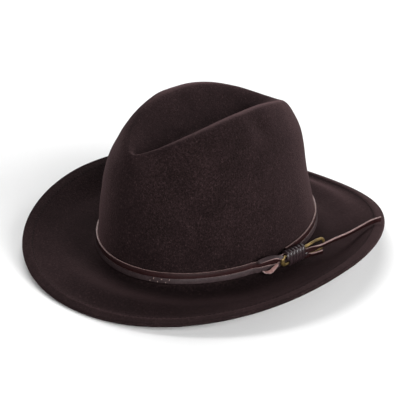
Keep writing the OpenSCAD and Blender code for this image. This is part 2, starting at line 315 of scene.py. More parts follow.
def felt_material():
    m = Nodes("brown_felt")
    mottle = m.noise(22, 3, 0.5)
    clumps = m.noise(1.7, 3, 0.6, warp=0.3)
    fibres = [
        m.noise(1.25, 2, 0.6, m.stretched(scale, turn), warp=0.8)
        for scale, turn in (
            ((3.2, 0.8, 0.8), (0.4, 0.3, 0.2)),
            ((0.8, 3.2, 0.8), (0.1, 0.9, 0.7)),
            ((0.8, 0.8, 3.2), (0.8, 0.2, 0.5)),
        )
    ]
    crossed = m.math("MAXIMUM", fibres[0], m.math("MAXIMUM", fibres[1], fibres[2]))
    base = m.ramp(
        clumps,
        (0.3, (0.0067, 0.0037, 0.0040)),
        (0.52, (0.0110, 0.0063, 0.0066)),
        (0.72, (0.0183, 0.0110, 0.0114)),
    )
    broad = m.ramp(mottle, (0.3, 0.80), (0.7, 1.18))
    hair = m.ramp(crossed, (0.5, 0.56), (0.62, 1.05), (0.74, 3.4))
    colour = m.blend(m.blend(base, broad, "MULTIPLY"), hair, "MULTIPLY")
    # Painted shade: the felt is darker just outside the band and over the inner brim, where the band
    # and the crown shade it. The band lies at 0.5 here, and 1 is twice as far out.
    beyond_band = m.math("MULTIPLY", m.length((1 / BASE_HALF_W, 1 / BASE_HALF_L, 0)), 0.5)
    foot_shade = m.ramp(beyond_band, (0.49, 1.0), (0.505, 0.52), (0.58, 0.60), (0.68, 0.92))
    colour = m.blend(colour, foot_shade, "MULTIPLY")
    # The felt's attribute of painted light and shade.
    painted_light_and_shade = m.tree.nodes.new("ShaderNodeAttribute")
    painted_light_and_shade.attribute_name = "painted_light_and_shade"
    # Painted shade where the attribute is below the plain value.
    painted_shade = m.ramp(painted_light_and_shade.outputs["Fac"], (0.0, 0.75), (UNPAINTED, 1.0))
    colour = m.blend(colour, painted_shade, "MULTIPLY")
    # Painted light where the attribute is above the plain value.
    painted_light_add = m.ramp(painted_light_and_shade.outputs["Fac"], (UNPAINTED, 0.0), (1.0, (0.030, 0.0195, 0.0200)))
    colour = m.blend(colour, painted_light_add, "ADD")
    soft = m.bump(clumps, 0.5, 0.6)
    fine = m.bump(crossed, 0.22, 0.8, soft)
    m.set(
        Base_Color=colour,
        Roughness=0.95,
        Specular_IOR_Level=0.04,
        # The sheen is weaker under the painted shade and stronger under the painted light.
        Sheen_Weight=m.ramp(painted_light_and_shade.outputs["Fac"], (0.0, 0.058), (UNPAINTED, 0.10), (0.5, 0.14)),
        Sheen_Roughness=0.45,
        Sheen_Tint=(0.72, 0.42, 0.44),
        Normal=fine,
    )
    return m.material


def leather_material(name, dark, light, rough, grain, gloss_level):
    """Leather between two colours. The grain is the depth of its creases in millimetres."""
    m = Nodes(name)
    streaks = m.noise(3.0, 4, 0.6, warp=1.2)
    grains = m.cells(0.55)
    creases = m.noise(1.1, 5, 0.7, warp=2.0)
    colour = m.ramp(streaks, (0.3, dark), (0.7, light))
    # Painted shade in the low parts of the creases' relief and painted light on its high parts.
    painted_light_and_shade = m.ramp(creases, (0.35, 0.72), (0.6, 1.0), (0.8, 1.3))
    colour = m.blend(colour, painted_light_and_shade, "MULTIPLY")
    gloss = m.ramp(creases, (0.3, rough - 0.08), (0.75, rough + 0.16))
    soft = m.bump(creases, grain, 0.5)
    fine = m.bump(grains, grain * 0.6, 0.5, soft)
    m.set(
        Base_Color=colour,
        Roughness=gloss,
        Specular_IOR_Level=gloss_level,
        Normal=fine,
    )
    return m.material


def thread_material(name, dark, light):
    m = Nodes(name)
    strands = m.noise(0.5, 2, 0.5, m.stretched((1, 1, 4), (0.5, 0.4, 0.3)))
    m.set(
        Base_Color=m.ramp(strands, (0.35, dark), (0.65, light)),
        Roughness=0.8,
        Specular_IOR_Level=0.1,
        Normal=m.bump(strands, 0.15, 0.6),
    )
    return m.material


def brass_material():
    m = Nodes("antique_brass")
    patina = m.noise(4.5, 5, 0.65, warp=0.6)
    scuffs = m.noise(0.9, 4, 0.7, m.stretched((1, 3, 3), (0.2, 0.1, 0.3)))
    m.set(
        Base_Color=m.ramp(
            patina,
            (0.36, (0.060, 0.040, 0.014)),
            (0.5, (0.16, 0.108, 0.038)),
            (0.66, (0.30, 0.212, 0.080)),
        ),
        Metallic=m.ramp(patina, (0.36, 0.45), (0.6, 0.75)),
        Roughness=m.ramp(scuffs, (0.35, 0.32), (0.7, 0.55)),
        Normal=m.bump(scuffs, 0.12, 0.4),
    )
    return m.material


RIB_PITCH = 2.262
# Length of one wave of a wave texture at scale 1.
WAVE_LENGTH = math.pi / 10


def ribbon_material():
    m = Nodes("dark_ribbon")
    wave = m.tree.nodes.new("ShaderNodeTexWave")
    m.tree.links.new(m.place, wave.inputs["Vector"])
    wave.bands_direction = "X"
    wave.inputs["Scale"].default_value = WAVE_LENGTH / (RIB_PITCH * MM)
    wave.inputs["Distortion"].default_value = 0.3
    ribs = wave.outputs["Fac"]
    m.set(
        Base_Color=m.ramp(ribs, (0.2, (0.008, 0.006, 0.006)), (0.8, (0.022, 0.017, 0.017))),
        Roughness=0.5,
        Normal=m.bump(ribs, 0.1, 0.5),
    )
    return m.material


FELT = felt_material()
LACE_FACE = leather_material(
    "lace_face", (0.0125, 0.0034, 0.0036), (0.0235, 0.0070, 0.0072), 0.42, 0.12, 0.17
)
# A lighter, greyer copy of the lace face: painted highlight, on the lower lace's face and the upper
# lace's turned-over end.
LIT_LACE_FACE = leather_material(
    "lace_face_painted_highlight", (0.023, 0.0135, 0.0145), (0.050, 0.033, 0.035), 0.45, 0.12, 0.24
)
LACE_EDGE = leather_material("lace_edge", (0.15, 0.092, 0.088), (0.32, 0.215, 0.205), 0.5, 0.1, 0.3)
LACE_FLESH = leather_material(
    "lace_flesh_side", (0.205, 0.100, 0.092), (0.39, 0.230, 0.213), 0.6, 0.2, 0.3
)
WRAP_FACE = leather_material(
    "wrap_leather", (0.0125, 0.0060, 0.0072), (0.029, 0.0155, 0.0180), 0.36, 0.05, 0.5
)
SWEAT = leather_material(
    "sweatband_leather", (0.030, 0.016, 0.011), (0.055, 0.032, 0.022), 0.45, 0.12, 0.5
)
DARK_THREAD = thread_material("brown_thread", (0.0040, 0.0022, 0.0022), (0.0105, 0.0062, 0.0062))
PALE_THREAD = thread_material("pale_thread", (0.22, 0.15, 0.13), (0.42, 0.31, 0.28))
BRASS = brass_material()
RIBBON = ribbon_material()

# ---- the felt ------------------------------------------------------------------------------

# How square the brim's outline is, how much it narrows to the back, and how its edge dips.
BRIM_N = 2.03
BRIM_TAPER = 0.025
FRONT_DIP = 1.5
BACK_DIP = 2.7
# The brim halfway out: how square it is, how far it lies below the band, and its slope.
HALFWAY_N = 2.1
HALFWAY_DROP = 3.6
HALFWAY_SLOPE = 2.9
# How far the row of stitches lies below the brim's edge, at the sides and at the two ends.
WELT_DROP_SIDES = 1.9
WELT_DROP_ENDS = -1.5
WELT_STEP = 0.3
GROOVE = 0.15
# The curve from the crown into the brim.
FLARE_OUT = 3.0
FLARE_DROP = 3.2
DENT_AT = [45.5, 9.0, 104.0]
DENT_DEPTH = 5.0
DENT_R = 10.0

# Angles round the hat, counted from the wearer's left over the back.
FACETS = 240
AROUND = np.arange(FACETS) * 2 * math.pi / FACETS
# Rows of the felt's mesh between one section and the next, and the rows of some of them.
FELT_STEPS = [9, 9, 15, 12, 9, 3, 3, 6, 15, 12, 3, 6]
CREST_ROW = sum(FELT_STEPS[:2])
FLARE_ROW = sum(FELT_STEPS[:8])
GROOVE_ROW = sum(FELT_STEPS[:10])
RIM_ROWS = 7


def oval(w, front, back, n, a):
    """A squared oval of half width w that reaches further to the front or the back."""
    c, s = np.cos(a), np.sin(a)
    return w * signed_pow(c, 2 / n), np.where(s < 0, front, back) * signed_pow(s, 2 / n)


def section_points(section):
    """The points of one of the crown's sections."""
    w, front, back, height, slope, fall, front_n, back_n, notch_depth = section
    s = np.sin(AROUND)
    x, y = oval(w, front, back, np.where(s < 0, front_n, back_n), AROUND)
    notch = notch_depth * np.exp(-(((AROUND - 1.5 * math.pi) / NOTCH_W) ** 2))
    return seated(np.stack([x, y, height + slope * s + fall * s**2 - notch], -1))


def brim_points(inset, drop):
    """The brim at that distance inside its edge, lower than the edge by the drop."""
    s = np.sin(AROUND)
    x, y = oval(BRIM_HALF_W - inset, BRIM_FRONT - inset, BRIM_BACK - inset, BRIM_N, AROUND)
    edge_z = WELT_T + SIDE_RISE * (1 - np.abs(s) ** np.where(s < 0, FRONT_DIP, BACK_DIP))
    return np.stack([x * (1 - BRIM_TAPER * s), MIDDLE_Y + y, edge_z - drop], -1)


def brim_halfway():
    x, y = oval(
        mix(BASE_HALF_W, BRIM_HALF_W, 0.5),
        mix(BASE_HALF_L, BRIM_FRONT, 0.5),
        mix(BASE_HALF_L, BRIM_BACK, 0.5),
        HALFWAY_N,
        AROUND,
    )
    return seated(np.stack([x, y, -HALFWAY_DROP - HALFWAY_SLOPE * np.sin(AROUND)], -1))


def band_oval(out, drop):
    """The crown's foot, made wider and lowered."""
    x, y = oval(BASE_HALF_W + out, BASE_HALF_L + out, BASE_HALF_L + out, 2, AROUND)
    return seated(np.stack([x, y, np.full(FACETS, -drop)], -1))


def felt_normals(grid):
    """Outward directions of a grid of rows by facets, closed along the facets."""
    across = np.roll(grid, -1, 1) - np.roll(grid, 1, 1)
    down = np.gradient(grid, axis=0)
    return unit(np.cross(down, across))


def dent(points):
    """Depth of the finger dents, one in each side, near the top and just behind the middle."""
    x, y, z = np.moveaxis(points, -1, 0)
    away = np.linalg.norm(np.stack([np.abs(x), y, z], -1) - seated(DENT_AT), axis=-1)
    return DENT_DEPTH * np.exp(-((away / DENT_R) ** 2))


def felt_faces():
    """The felt's upper and lower faces, as rows from the bottom of the crease to the brim's edge."""
    sections = (CREASE_FLOOR, CREASE_WALL, CREST, SHOULDER, MID, LOW, FOOT)
    welt_drop = mix(WELT_DROP_SIDES, WELT_DROP_ENDS, np.sin(AROUND) ** 2)
    keys = [section_points(section) for section in sections]
    keys += [
        band_oval(0, 0),
        band_oval(FLARE_OUT, FLARE_DROP),
        brim_halfway(),
        brim_points(WELT_W + 1, welt_drop + WELT_STEP + GROOVE),
        brim_points(WELT_W, welt_drop),
        brim_points(EDGE_ROUND, 0),
    ]
    top = smooth_line(keys, FELT_STEPS)
    outward = felt_normals(top)
    top = top - outward * dent(top)[..., None]
    # The felt is single above the groove and folded over, so thicker, beyond it.
    single = 1 - smoothstep((np.arange(len(top)) - GROOVE_ROW) / 3)
    uneven = 0.35 * ripple(top, 34, 1) + 0.12 * ripple(top, 9, 2)
    top = top + outward * (uneven * (0.25 + 0.75 * single[:, None]))[..., None]
    thick = mix(WELT_T, FELT_T, single)
    return top, top - felt_normals(top) * thick[:, None, None]


def rim_rings(top, lower):
    """Rings that round off the brim's edge between the two faces."""
    rings = []
    for turn in np.linspace(0, math.pi, RIM_ROWS + 2)[1:-1]:
        share = (1 - math.cos(turn)) / 2
        across = unit(top[-1] - top[-2]) * EDGE_ROUND * math.sin(turn)
        rings.append(mix(top[-1], lower[-1], share) + across)
    return rings


felt_top, felt_lower = felt_faces()
felt_rings = np.array([*felt_top, *rim_rings(felt_top, felt_lower), *felt_lower[::-1]])

# Painted light and shade on the felt, as changes of its attribute value.
# Strength of the painted highlight along the ridges.
RIDGE_HIGHLIGHT = 0.95
# Strengths of the painted light on the crown and the brim on the lit side.
CROWN_PAINTED_LIGHT = 0.06
BRIM_PAINTED_LIGHT = 0.16
# Strength of the painted highlight on the welt beside the painted shade of the brim.
WELT_HIGHLIGHT = 0.09
# Stretches round the hat, each as the angle of its middle and its width, in degrees.
# Stretch with painted shade on the brim, between the front and the wearer's left.
SHADE_STRETCH = (308, 46)
# Stretch with painted light, on the wearer's left towards the back.
LIT_STRETCH = (34, 30)
# End of a ridge with no painted highlight and a little painted shade instead.
SHADED_RIDGE_END = (225, 32)
# Places of the crown with painted shade or light of their own: where, how wide and the change. The
# first is painted shade in the side dent, the second painted light at the front of the crown.
PAINTED_SPOTS = (((46, 13.0, 103.5), 6, -0.8 * UNPAINTED), ((10, -92, 104), 9, 0.09))


def bell(middle, width):
    """A smooth bump round an angle, in degrees."""
    away = (np.degrees(AROUND) - middle + 180) % 360 - 180
    return np.exp(-((away / width) ** 2))


def felt_painted_light():
    """The felt's painted light and shade at each point of its rings.

    It has a painted highlight along the ridges, apart from one end of a ridge, which has a little
    painted shade instead, and painted light on one side. It has painted shade on the brim between
    the front and the wearer's left, a painted highlight on the welt there, and painted spots of
    shade and light on the crown.
    """
    rows = np.arange(len(felt_rings))
    ridge = np.exp(-(((rows - CREST_ROW) / 1.2) ** 2))
    crown = smoothstep((rows - CREST_ROW) / 8) * (rows < FLARE_ROW)
    brim = smoothstep((rows - FLARE_ROW) / 6) * (rows < len(felt_top) + RIM_ROWS)
    welt = smoothstep((rows - GROOVE_ROW) / 2) * (rows < len(felt_top) + RIM_ROWS // 2 + 1)
    shade_share = bell(*SHADE_STRETCH)
    lit_share = bell(*LIT_STRETCH)
    shaded_end = bell(*SHADED_RIDGE_END)
    # Painted highlight along the ridges, with a little painted shade at the shaded end instead.
    painted_light_add = np.cos(AROUND) ** 2 * (1 - shaded_end)
    painted = UNPAINTED + RIDGE_HIGHLIGHT * np.outer(ridge, painted_light_add - UNPAINTED * shaded_end)
    # Painted shade on the brim, but not its welt, in the shaded stretch.
    painted -= UNPAINTED * np.outer(brim * (1 - welt), shade_share)
    # Painted light on the brim in the lit stretch, and a painted highlight on the welt in the shaded
    # stretch.
    painted += BRIM_PAINTED_LIGHT * np.outer(brim, lit_share) + WELT_HIGHLIGHT * np.outer(welt, shade_share)
    # Painted light on the crown in the lit stretch.
    painted += CROWN_PAINTED_LIGHT * np.outer(crown, lit_share)
    # Painted shade in the dent and painted light at the front of the crown.
    for at, radius, change in PAINTED_SPOTS:
        away = np.linalg.norm(felt_rings - seated(at), axis=-1)
        painted += change * np.exp(-((away / radius) ** 2))
    return painted


# The felt carries its painted light and shade as an attribute.
add_piece(
    "felt_hat_body", "hat", ["felt_body"], [(felt_rings, False, plain)], [FELT], felt_painted_light()
)

# ---- stitches ------------------------------------------------------------------------------

BRIM_STITCH_PITCH = 3.9
BRIM_STITCH_L = 2.9
BRIM_THREAD_D = 0.75


def even_points(loop, pitch):
    """Points and directions at even steps along a closed loop."""
    loop = np.concatenate([loop, loop[:1]])
    lengths = np.concatenate([[0], np.cumsum(np.linalg.norm(np.diff(loop, axis=0), axis=1))])
    count = int(lengths[-1] / pitch)
    at = np.arange(count) * lengths[-1] / count
    points, ahead = (
        np.stack([np.interp(where % lengths[-1], lengths, loop[:, k]) for k in range(3)], -1)
        for where in (at, at + pitch * 0.3)
    )
    return points, unit(ahead - points)


def thread_stitch(middle, along, out, length, d):
    """One stitch: a short thread that comes out of the cloth, lies on it and goes back in."""
    side = unit(np.cross(along, out))
    rings = []
    # Its middle line rises from 0.35 of its thickness inside the cloth to 0.28 above it.
    for t in np.linspace(-1, 1, 7):
        height = d * (0.63 * (1 - t * t) - 0.35)
        width = d / 2 * math.sqrt(max(1 - 0.75 * t * t, 0.05))
        centre = middle + along * t * length / 2 + out * height
        rings.append([
            centre + side * width * math.cos(q) + out * width * 0.8 * math.sin(q)
            for q in np.arange(6) * math.pi / 3
        ])
    return rings


def brim_stitches():
    """The row of stitches beside the groove, on both faces of the brim."""
    parts = []
    for grid, face in ((felt_top, 1), (felt_lower, -1)):
        loop = grid[GROOVE_ROW]
        outs = felt_normals(grid)[GROOVE_ROW] * face
        points, along = even_points(loop, BRIM_STITCH_PITCH)
        nearest = [int(np.argmin(np.linalg.norm(loop - p, axis=1))) for p in points]
        for p, d, k in zip(points, along, nearest):
            stitch = thread_stitch(p, d, outs[k], BRIM_STITCH_L, BRIM_THREAD_D)
            parts.append((stitch, False, plain))
    return parts


add_piece("brim_stitches", "hat", ["brim_edge_thread"], brim_stitches(), [DARK_THREAD])

# ---- the laces -----------------------------------------------------------------------------

# The knot's middle, and its turn out of the crown's length.
KNOT_AT = np.array([96.6, 0.3, 5.0])
KNOT_YAW = math.radians(8)
LOWER_Z = 0.4 + LACE_W / 2
UPPER_Z = LOWER_Z + LACE_W + 0.2
# The laces' distance from the crown, and where they end in the knot.
STRAND_OFF = 0.35 + LACE_T / 2
END_IN_KNOT = -1.1
# The laces follow the crown from one angle to the other, in degrees, and leave it for the knot.
STRAND_START = -1.5
STRAND_TURN = 338
STRAND_STEP = 1.5
STRAND_LEAN = -7.0
# How far a lace's outer face bulges, and the thickness of its turned-over end.
LACE_DOME = 0.12
FOLD_T = LACE_T * 0.8


def at_knot(p):
    """From the knot's own axes to the crown's axes."""
    x, y, z = np.moveaxis(np.asarray(p, float), -1, 0)
    c, s = math.cos(KNOT_YAW), math.sin(KNOT_YAW)
    return KNOT_AT + np.stack([x * c + y * s, y * c - x * s, z], -1)


def beside_crown(off, z, a):
    """Points round the crown at that height, outside its face by that distance."""
    heights = (0, LOW[3], MID[3])
    sizes = ((BASE_HALF_W, BASE_HALF_L, BASE_HALF_L), LOW[:3], MID[:3])
    w, front, back = (np.interp(z, heights, size) for size in zip(*sizes))
    x, y = oval(w + off, front + off, back + off, 2, a)
    return np.stack([x, y, np.full(np.shape(x), float(z))], -1)


def lace_profile(w, t, corner=0.42):
    """A lace's outline as (out, up) pairs, with a slightly domed outer face and rounded corners."""
    h, k = w / 2, t / 2
    pairs = []
    for side_x, side_y, start in ((1, 1, 0), (-1, 1, 90), (-1, -1, 180), (1, -1, 270)):
        x, y = side_x * (k - corner), side_y * (h - corner)
        for q in np.radians(start + np.array([0, 30, 60, 90])):
            pairs.append((x + corner * math.cos(q), y + corner * math.sin(q)))
    low_dome, high_dome = [(k + LACE_DOME * 0.7, y * h * 0.45) for y in (-1, 1)]
    return [*pairs, low_dome, (k + LACE_DOME, 0), high_dome]


# Materials of a lace, by their numbers: three for its sides and a fourth where a piece needs it.
FACE, EDGE, FLESH, EXTRA = range(4)
LACE_MATERIALS = [LACE_FACE, LACE_EDGE, LACE_FLESH]


def lace_material(place):
    """The material at each place round lace_profile's outline."""
    if place in (6, 7, 8):
        return FLESH
    return EDGE if place in (2, 3, 4, 5, 9, 10, 11, 12) else FACE


def upper_fold_material(place):
    """The upper lace's turned-over end has a lighter, greyer face with a painted highlight, the
    extra material.
    """
    return EXTRA if lace_material(place) == FACE else lace_material(place)


def wrap_material(_place):
    return EXTRA


def sweep(points, wides, profile, width):
    """Rings of the profile along the points, in the row frame.

    The points and wides are in the crown's axes. Each ring's width lies near its direction in
    wides and is multiplied by its value in width.
    """
    points = seated(points)
    run = unit(np.gradient(points, axis=0))
    side = unit(np.cross(run, turned(wides)))
    up = unit(np.cross(side, run))
    return np.stack([points + side * x + up * (y * width)[:, None] for x, y in profile], 1)


def leaning(degrees, yaw):
    """Width directions that lean from upright towards the direction yaw, in radians."""
    q = np.radians(degrees)
    return np.stack([np.sin(q) * np.cos(yaw), np.sin(q) * np.sin(yaw), np.cos(q)], -1)


# From the crown to the knot: places and leans.
UPPER_BOW = [(85.9, -36, 8.3, -4), (89.4, -28, 8.2, 0), (93.2, -20, 8.0, 0)]
LOWER_BOW = [(86.4, -36, 2.7, -2), (90.0, -28, 2.5, 4), (93.8, -20, 2.4, 4)]
# The doubled ends of the laces, turned over in front of the ring: places and leans.
UPPER_FOLD = [
    (87.6, -38.0, 10.6, -20),
    (90.8, -33.5, 12.8, -66),
    (94.0, -27.0, 13.4, -78),
    (96.6, -20.5, 11.6, -56),
    (97.2, -16, 9.6, -20),
]
LOWER_FOLD = [
    (90.0, -35.4, 2.4, 60),
    (92.4, -32.4, 1.0, 95),
    (95.0, -28.8, 1.7, 108),
    (96.0, -26.2, 3.8, 104),
    (96.4, -23.4, 6.2, 80),
]


def strand(bow, z, end_z, seed):
    """One lace of the band: round the crown, along its bow and into the knot."""
    a = np.radians(np.arange(STRAND_START, STRAND_TURN, STRAND_STEP))
    bow = np.array(bow)
    knot_ends = at_knot([(END_IN_KNOT, y, end_z) for y in (-WRAP_L / 2 - 2, -WRAP_L / 2, 0)])
    turn = beside_crown(STRAND_OFF, z, np.radians([STRAND_TURN]))
    keys = np.concatenate([turn, bow[:, :3], knot_ends])
    leans = np.array([[lean, 0] for lean in (STRAND_LEAN, *bow[:, 3], 0, 0, 0)])
    steps = [10] * (len(keys) - 1)
    to_knot = smooth_line(keys, steps)
    points = np.concatenate([beside_crown(STRAND_OFF, z, a), to_knot])
    lean = np.concatenate([np.full(len(a), STRAND_LEAN), smooth_line(leans, steps)[:, 0]])
    wides = leaning(lean, np.concatenate([a, np.zeros(len(to_knot))]))
    # The lace sways a little up and down, less and less over the last degrees before its turn.
    before_turn = np.concatenate([STRAND_TURN - np.degrees(a), np.zeros(len(to_knot))])
    sway = 0.35 * ripple(points, 38, seed) * smoothstep(before_turn / 12)
    points = points + np.outer(sway, UPRIGHT)
    width = 1 + 0.035 * ripple(points, 22, seed + 4)
    return sweep(points, wides, lace_profile(LACE_W, LACE_T), width)


def fold(keys, w, seed):
    """The turned-over end of a lace, which narrows towards its two ends."""
    line = smooth_line(keys, [8] * (len(keys) - 1))
    places = line[:, :3]
    share = np.linspace(0, 1, len(line))
    narrowed = 0.35 + 0.65 * np.sin(math.pi * share) ** 0.6
    width = narrowed * (1 + 0.05 * ripple(places, 7, seed))
    return sweep(places, leaning(line[:, 3], 0), lace_profile(w, FOLD_T, corner=0.35), width)


add_piece(
    "upper_lace",
    "hatband",
    ["upper_strand"],
    [
        (strand(UPPER_BOW, UPPER_Z, LACE_W / 2 + 0.2, 11), False, lace_material),
        (fold(UPPER_FOLD, 4.4, 13), False, upper_fold_material),
    ],
    [*LACE_MATERIALS, LIT_LACE_FACE],
)
# The lower lace's face is the lighter copy with painted highlight.
add_piece(
    "lower_lace",
    "hatband",
    ["lower_strand"],
    [
        (strand(LOWER_BOW, LOWER_Z, -LACE_W / 2 - 0.2, 12), False, lace_material),
        (fold(LOWER_FOLD, 3.4, 14), False, lace_material),
    ],
    [LIT_LACE_FACE, LACE_EDGE, LACE_FLESH],
)

SPLICE_COUNT = 6
SPLICE_START = 285.5
SPLICE_PITCH = 2.1
SPLICE_THREAD_D = 0.6


def splice_stitches():
    """A short row of uneven stitches, by turns high and low on the lower lace."""
    parts = []
    for i in range(SPLICE_COUNT):
        a = math.radians(SPLICE_START + SPLICE_PITCH * i)
        level = LOWER_Z + LACE_W * (0.26 if i % 2 else -0.26)
        middle = seated(beside_crown(STRAND_OFF + LACE_T / 2 + 0.1, level, a))
        out = np.array([math.cos(a), math.sin(a), 0.0])
        slant = math.radians(35 + 30 * math.sin(5.0 * i))
        along = turned(leaning(math.degrees(slant), a + math.pi / 2))
        length = 1.5 + 0.4 * math.sin(3.0 * i)
        stitch = thread_stitch(middle, unit(along), out, length, SPLICE_THREAD_D)
        parts.append((stitch, False, plain))
    return parts


add_piece(
    "lace_splice_stitches",
    "hatband",
    ["splice_stitches"],
    splice_stitches(),
    [PALE_THREAD],
)

# ---- the ring and the wrap -----------------------------------------------------------------

# The ring's distance from the knot's middle plane, and its reach in front of the knot's middle.
RING_OUT = 1.5
RING_FRONT = 17.0


def brass_ring():
    """A long wire ring along the band, with a stout front end and a bowed back end."""
    straight = RING_L - RING_W
    bend_r = (RING_W - WIRE_D) / 2
    path = []
    for side, start in ((1, -90), (-1, 90)):
        for q in np.radians(np.linspace(start, start + 180, 21)):
            path.append((RING_OUT, side * straight / 2 + bend_r * math.cos(q), bend_r * math.sin(q)))
        for t in np.linspace(0, 1, 14)[1:-1]:
            path.append((RING_OUT, side * straight * (0.5 - t), side * bend_r))
    path = np.array(path)
    path[:, 1] += RING_L / 2 - RING_FRONT
    stout = smoothstep((-path[:, 1] - WRAP_L / 2) / 3)
    behind_wrap = (path[:, 1] - WRAP_L / 2) / (RING_L - RING_FRONT - WRAP_L / 2)
    arch = np.sin(math.pi * np.clip(behind_wrap, 0, 1))
    # The front end is a fifth wider and its wire half as thick again. The back end bows out.
    path[:, 2] *= 1 + 0.2 * stout + 0.25 * arch
    run = unit(np.roll(path, -1, 0) - np.roll(path, 1, 0))
    side = np.array([1.0, 0.0, 0.0])
    up = unit(np.cross(run, side))
    wire = WIRE_D / 2 * (1 + 0.5 * stout + 0.05 * ripple(path, 6, 5))[:, None]
    round_wire = np.arange(16) * math.pi / 8
    rings = [path + (side * math.cos(q) + up * math.sin(q)) * wire for q in round_wire]
    return seated(at_knot(np.stack(rings, 1)))


add_piece("ring", "hatband", ["brass_ring"], [(brass_ring(), True, plain)], [BRASS])

# The wrap's lace, and its path's half width and half height and how square it is.
WRAP_T = 2.2
WRAP_W = 3.5
WRAP_HALF_W = 3.8
WRAP_HALF_H = 6.2
WRAP_N = 3
# Where the tails leave the knot.
TAIL_OUT = 3.9
TAIL_Y = WRAP_L / 2 + 0.3
LONG_ROOT_Z = 0.8
SHORT_ROOT_Z = -4.0
SHORT_TAIL_W = 3.8


def knot_wrap():
    """A lace wound round the ring and the strands' ends. Each turn is a little different."""
    steps = 40
    turns = np.arange(WRAP_TURNS * steps + 1) / steps
    q = turns * 2 * math.pi
    none = np.zeros(len(turns))
    pitch = (WRAP_L - WRAP_W) / WRAP_TURNS
    loose = 0.16 * ripple(np.stack([turns, none, none], -1), 0.45, 3)
    x = (WRAP_HALF_W + loose) * signed_pow(np.cos(q), 2 / WRAP_N)
    z = (WRAP_HALF_H + loose) * signed_pow(np.sin(q), 2 / WRAP_N)
    path = np.stack([x, -WRAP_L / 2 + WRAP_W / 2 + pitch * turns, z], -1)
    out_x = signed_pow(x / WRAP_HALF_W, WRAP_N - 1) / WRAP_HALF_W
    out_z = signed_pow(z / WRAP_HALF_H, WRAP_N - 1) / WRAP_HALF_H
    out = unit(np.stack([out_x, none, out_z], -1)) * WRAP_T / 2
    along = np.array([0.0, WRAP_W / 2, 0.0])
    round_lace = np.arange(14) * math.pi / 7
    rings = [path + out * math.cos(turn) + along * math.sin(turn) for turn in round_lace]
    return seated(at_knot(np.stack(rings, 1)))


def tail_stub(z, w):
    """The last of a tail's lace inside the wrap, up to its hinge."""
    places = ((TAIL_OUT - 1.2, -4), (TAIL_OUT, -1.5), (TAIL_OUT, 0.2))
    line = at_knot([(x, WRAP_L / 2 + y, z) for x, y in places])
    return sweep(line, np.tile(UPRIGHT, (3, 1)), lace_profile(w, LACE_T), np.ones(3))


add_piece(
    "lace_wrap",
    "hatband",
    ["knot_wrap"],
    [
        (knot_wrap(), False, wrap_material),
        (tail_stub(LONG_ROOT_Z, LACE_W), False, lace_material),
        (tail_stub(SHORT_ROOT_Z, SHORT_TAIL_W), False, lace_material),
    ],
    [*LACE_MATERIALS, WRAP_FACE],
)

# ---- the tails -----------------------------------------------------------------------------

LONG_TAIL = [
    at_knot([TAIL_OUT, TAIL_Y, LONG_ROOT_Z]),
    (104.8, 27, 4.4),
    (107.5, 41, 4.8),
    (110.5, 57, 4.4),
    (114, 73, 6.0),
    (118.6, 82.2, 8.9),
    (124.6, 89, 11.2),
]
SHORT_TAIL = [
    at_knot([TAIL_OUT, TAIL_Y, SHORT_ROOT_Z]),
    (105.4, 22.6, -0.2),
    (106.8, 26.4, -0.2),
]
# The tails lean away from the crown soon after the knot, and half as much at their ends.
TAIL_LEAN = 34.0


def tail(points, w, seed):
    line = smooth_line(points, [12] * (len(points) - 1))
    share = np.linspace(0, 1, len(line))
    wides = leaning(TAIL_LEAN * smoothstep(share * 6) * (1 - 0.5 * share), 0)
    width = 1 + 0.03 * ripple(line, 16, seed)
    return sweep(line, wides, lace_profile(w, LACE_T), width)


add_piece(
    "long_tail_lace",
    "long_lace_tail",
    ["long_tail"],
    [(tail(LONG_TAIL, LACE_W, 21), False, lace_material)],
    LACE_MATERIALS,
)
add_piece(
    "short_tail_lace",
    "short_lace_tail",
    ["short_tail"],
    [(tail(SHORT_TAIL, SHORT_TAIL_W, 22), False, lace_material)],
    LACE_MATERIALS,
)

# ---- inside the crown ----------------------------------------------------------------------

SWEAT_OFF = FELT_T + 0.5
SWEAT_T = 1.2
SWEAT_LOW = -1.0
SWEAT_H = 38.0
HEM_R = 0.95
# The strip is thinner than its CAD solid by this much on each face.
SWEAT_SLIM = 0.1
SWEAT_STITCH_Z = 2.6
SWEAT_STITCH_PITCH = 3.2
SWEAT_STITCH_L = 2.2
SWEAT_THREAD_D = 0.6


def sweatband():
    """The lining strip, with a thin rolled edge at the bottom and a softly waved top edge."""
    wave = 0.35 + 0.15 * np.sin(5 * AROUND + 0.6) + 0.12 * np.sin(8 * AROUND)
    levels = np.linspace(0.6, SWEAT_H + SWEAT_LOW, 14)
    top_edge = levels[-1] + 0.35
    up_and_down = [(-SWEAT_OFF - SWEAT_SLIM, z) for z in levels]
    up_and_down += [(-SWEAT_OFF - SWEAT_T / 2, top_edge)]
    up_and_down += [(-SWEAT_OFF - SWEAT_T + SWEAT_SLIM, z) for z in levels[::-1]]
    rings = []
    for off, z in up_and_down:
        ring = beside_crown(off, z, AROUND)
        inward = wave * smoothstep((z - 20) / 16)
        rings.append(ring - unit(ring * [1, 1, 0]) * inward[:, None])
    for turn in np.radians(np.arange(40, 321, 28)):
        z = SWEAT_LOW + HEM_R + HEM_R * math.cos(turn)
        off = -SWEAT_OFF - SWEAT_T / 2 - HEM_R * math.sin(turn)
        rings.append(beside_crown(off, z, AROUND))
    return seated(np.array(rings).transpose(1, 0, 2))


add_piece(
    "sweatband_strip", "hat", ["sweatband"], [(sweatband(), True, plain)], [SWEAT]
)


